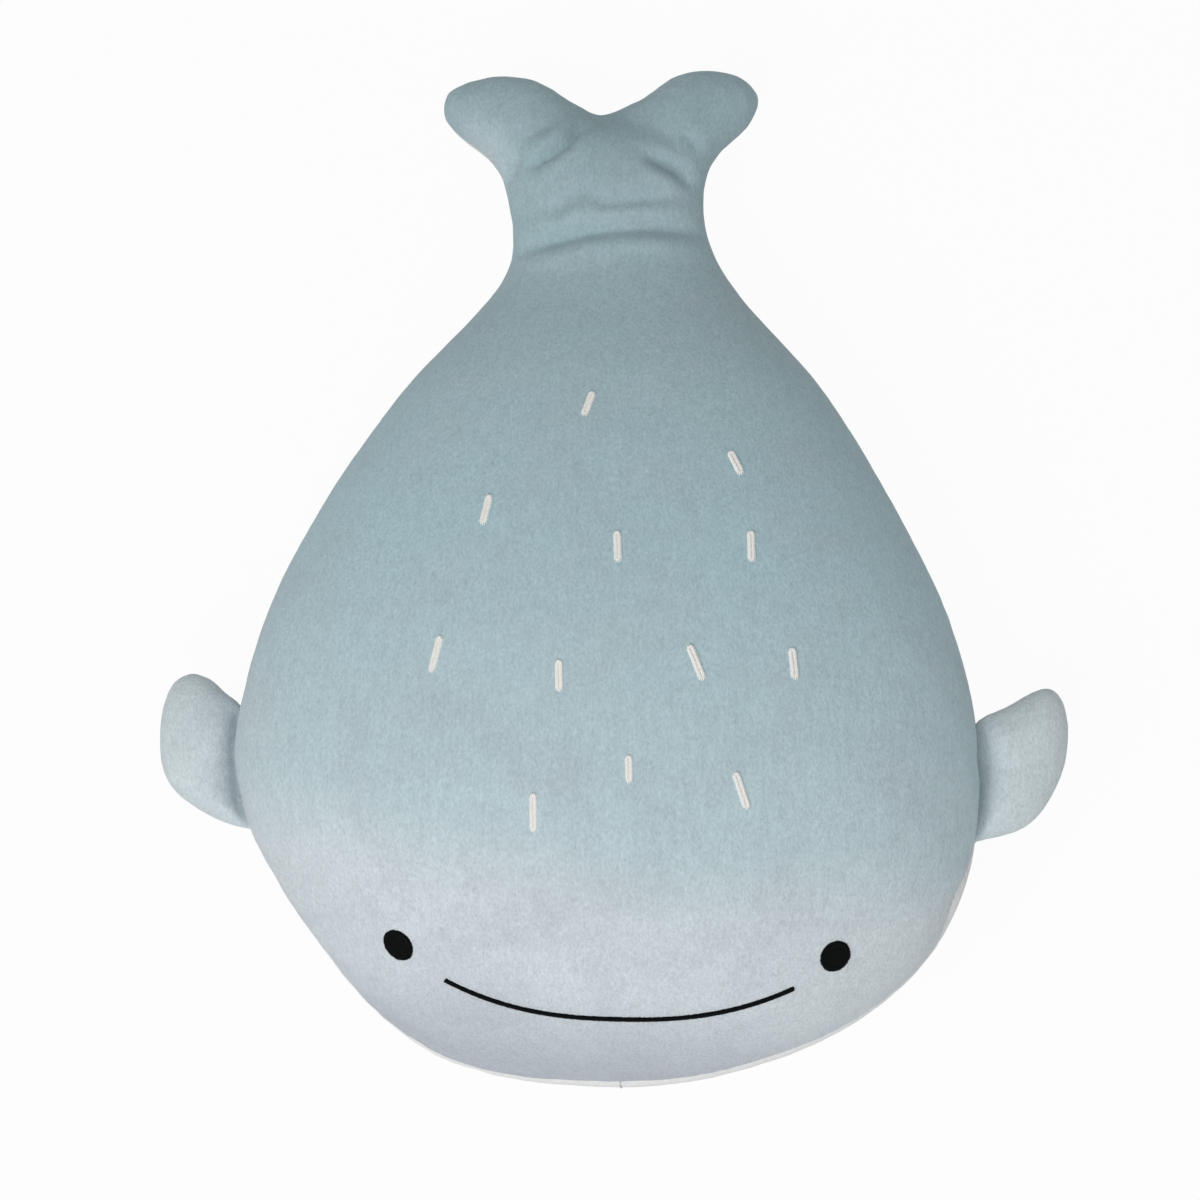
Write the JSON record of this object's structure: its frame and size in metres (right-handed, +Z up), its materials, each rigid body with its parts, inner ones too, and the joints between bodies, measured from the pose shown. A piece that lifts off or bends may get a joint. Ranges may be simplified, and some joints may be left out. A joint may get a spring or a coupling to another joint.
{
  "type": "plush dolphin",
  "caption": "Stuffed velour dolphin cushion lying on its belly, with sewn-in flippers, a fluked tail, an embroidered face and small stitch marks on its back.",
  "frame": {"origin": "on the floor, under the middle of the toy's overall length and width", "axes": "+Z up, +Y towards the tail, head towards -Y, +X to the right as seen from above with the head towards the viewer"},
  "size_m": [0.4082, 0.4664, 0.1447],
  "materials": {
    "blue_grey_velour": "short-pile velour",
    "white_velour": "short-pile velour",
    "fibre_stuffing": "loose polyester fibre",
    "black_thread": "satin stitch",
    "white_thread": "satin stitch",
    "seam_thread": "sewing thread"
  },
  "bodies": {
    "torso": {"back_panel": "blue_grey_velour", "belly_panel_left": "white_velour", "belly_panel_right": "white_velour", "body_stuffing": "fibre_stuffing", "side_seam_thread": "seam_thread", "belly_seam_thread": "seam_thread", "left_eye": "black_thread", "right_eye": "black_thread", "smile": "black_thread", "back_stitch_01": "white_thread", "back_stitch_02": "white_thread", "back_stitch_03": "white_thread", "back_stitch_04": "white_thread", "back_stitch_05": "white_thread", "back_stitch_06": "white_thread", "back_stitch_07": "white_thread", "back_stitch_08": "white_thread", "back_stitch_09": "white_thread", "back_stitch_10": "white_thread", "back_stitch_11": "white_thread", "back_stitch_12": "white_thread"},
    "tail": {"tail_back_panel": "blue_grey_velour", "tail_belly_panel_left": "white_velour", "tail_belly_panel_right": "white_velour", "tail_stuffing": "fibre_stuffing", "tail_side_seam_thread": "seam_thread", "tail_belly_seam_thread": "seam_thread"},
    "left_flipper": {"left_flipper_top_panel": "blue_grey_velour", "left_flipper_under_panel": "blue_grey_velour", "left_flipper_stuffing": "fibre_stuffing"},
    "right_flipper": {"right_flipper_top_panel": "blue_grey_velour", "right_flipper_under_panel": "blue_grey_velour", "right_flipper_stuffing": "fibre_stuffing"}
  },
  "joints": [
    {"name": "tail_bend", "type": "hinge", "parent": "torso", "child": "tail", "pos_m": [0, 0.15248, 0.04755], "axis": [1, 0, 0], "range_deg": [-20, 35], "stiffness_Nm_per_rad": 0.8},
    {"name": "left_flipper_flap", "type": "hinge", "parent": "torso", "child": "left_flipper", "pos_m": [-0.16939, -0.09153, 0.06427], "axis": [0.0089, 0.9976, -0.0684], "range_deg": [-40, 55], "stiffness_Nm_per_rad": 0.05},
    {"name": "right_flipper_flap", "type": "hinge", "parent": "torso", "child": "right_flipper", "pos_m": [0.16756, -0.09751, 0.06468], "axis": [0, -0.9977, 0.0684], "range_deg": [-40, 55], "stiffness_Nm_per_rad": 0.05}
  ]
}
